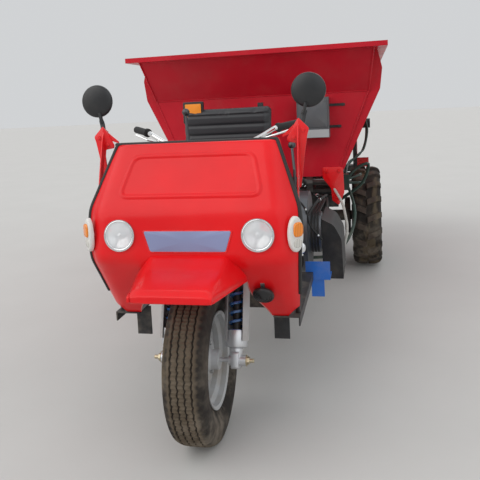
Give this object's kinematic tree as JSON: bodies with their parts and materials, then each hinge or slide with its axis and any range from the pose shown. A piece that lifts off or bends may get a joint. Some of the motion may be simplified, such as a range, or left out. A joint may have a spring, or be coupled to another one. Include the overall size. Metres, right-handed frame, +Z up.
{
  "type": "self-propelled three-wheeled manure spreader",
  "caption": "Three-wheeled diesel manure spreader with an open driver's place behind a front fairing, a flared hopper, a floor chain, a beater and spreading discs.",
  "frame": {"origin": "on the floor, under the middle of the overall box", "axes": "+X to the driver's left, +Y to the rear, +Z up; the machine faces -Y"},
  "size_m": [1.64, 4.968, 1.706],
  "materials": {
    "fairing_paint": "gloss",
    "hopper_paint": "gloss",
    "frame_paint": "satin",
    "lamp_metal": "polished",
    "lamp_glass": "clear",
    "signal_plastic": "gloss",
    "horn_plastic": "matte",
    "mirror_plastic": "satin",
    "mirror_glass": "polished",
    "seat_vinyl": "satin",
    "lever_steel": "satin",
    "box_paint": "satin",
    "engine_iron": "satin",
    "engine_alloy": "cast",
    "belt_rubber": "matte",
    "gearbox_iron": "satin",
    "exhaust_steel": "heat stained",
    "chain_steel": "oiled",
    "disc_steel": "worn",
    "step_paint": "gloss",
    "hose_rubber": "satin",
    "lamp_red": "gloss",
    "slider_alloy": "satin",
    "spring_paint": "gloss",
    "bar_chrome": "polished",
    "grip_rubber": "matte",
    "tyre_rubber": "matte",
    "rim_paint": "satin"
  },
  "bodies": {
    "chassis": {"chassis_frame": "frame_paint", "footboards": "frame_paint", "fairing": "fairing_paint", "fairing_hoop": "frame_paint", "headlight_bowls": "lamp_metal", "headlight_lenses": "lamp_glass", "turn_signals": "signal_plastic", "horn": "horn_plastic", "mirror_brackets": "fairing_paint", "mirrors": "mirror_plastic", "mirror_glasses": "mirror_glass", "seat_frame": "frame_paint", "seat_cushion": "seat_vinyl", "seat_back": "seat_vinyl", "control_levers": "lever_steel", "control_box": "box_paint", "engine_block": "engine_iron", "engine_covers": "engine_alloy", "air_cleaner": "frame_paint", "flywheel": "engine_iron", "drive_belts": "belt_rubber", "fuel_tank": "fairing_paint", "radiator": "frame_paint", "exhaust": "exhaust_steel", "gearbox": "gearbox_iron", "rear_axle": "frame_paint", "leaf_springs": "frame_paint", "hopper_floor": "hopper_paint", "hopper_lower_sides": "hopper_paint", "hopper_upper_sides": "hopper_paint", "hopper_end_walls": "hopper_paint", "hopper_headboard": "hopper_paint", "hopper_frame": "frame_paint", "conveyor_shafts": "chain_steel", "floor_conveyor": "chain_steel", "beater_housing": "hopper_paint", "beater_motor": "gearbox_iron", "spreader_frame": "frame_paint", "side_step": "step_paint", "hydraulic_hoses": "hose_rubber", "rear_lamps": "lamp_red"},
    "steered_fork": {"fork": "frame_paint", "fork_sliders": "slider_alloy", "fork_springs": "spring_paint", "handlebar": "bar_chrome", "hand_grips": "grip_rubber"},
    "front_wheel": {"front_tyre": "tyre_rubber", "front_rim": "rim_paint"},
    "rear_wheel_left": {"rear_tyre_left": "tyre_rubber", "rear_rim_left": "rim_paint"},
    "rear_wheel_right": {"rear_tyre_right": "tyre_rubber", "rear_rim_right": "rim_paint"},
    "gate": {"rear_gate": "hopper_paint"},
    "beater_drum": {"beater": "chain_steel"},
    "disc_left": {"spinner_left": "disc_steel"},
    "disc_right": {"spinner_right": "disc_steel"}
  },
  "joints": [
    {"name": "steering", "type": "hinge", "parent": "chassis", "child": "steered_fork", "pos_m": [0, -2.03402, 0.3189], "axis": [0, 0.342, 0.9397], "range_deg": [-35, 35]},
    {"name": "front_wheel_spin", "type": "hinge", "parent": "steered_fork", "child": "front_wheel", "pos_m": [0, -2.081, 0.336], "axis": [1, 0, 0], "continuous": true},
    {"name": "rear_left_spin", "type": "hinge", "parent": "chassis", "child": "rear_wheel_left", "pos_m": [0.674, 0.789, 0.406], "axis": [1, 0, 0], "continuous": true},
    {"name": "rear_right_spin", "type": "hinge", "parent": "chassis", "child": "rear_wheel_right", "pos_m": [-0.674, 0.789, 0.406], "axis": [1, 0, 0], "continuous": true},
    {"name": "gate_slide", "type": "slide", "parent": "chassis", "child": "gate", "axis": [0, 0, 1], "range_m": [0, 0.3]},
    {"name": "beater_spin", "type": "hinge", "parent": "chassis", "child": "beater_drum", "pos_m": [0, 2.059, 1.12], "axis": [1, 0, 0], "continuous": true},
    {"name": "disc_left_spin", "type": "hinge", "parent": "chassis", "child": "disc_left", "pos_m": [0.3, 2.149, 0.64], "axis": [0, 0, 1], "continuous": true},
    {"name": "disc_right_spin", "type": "hinge", "parent": "chassis", "child": "disc_right", "pos_m": [-0.3, 2.149, 0.64], "axis": [0, 0, 1], "continuous": true}
  ],
  "couplings": [
    {"joint": "disc_right_spin", "follows": "disc_left_spin", "ratio": -1}
  ]
}
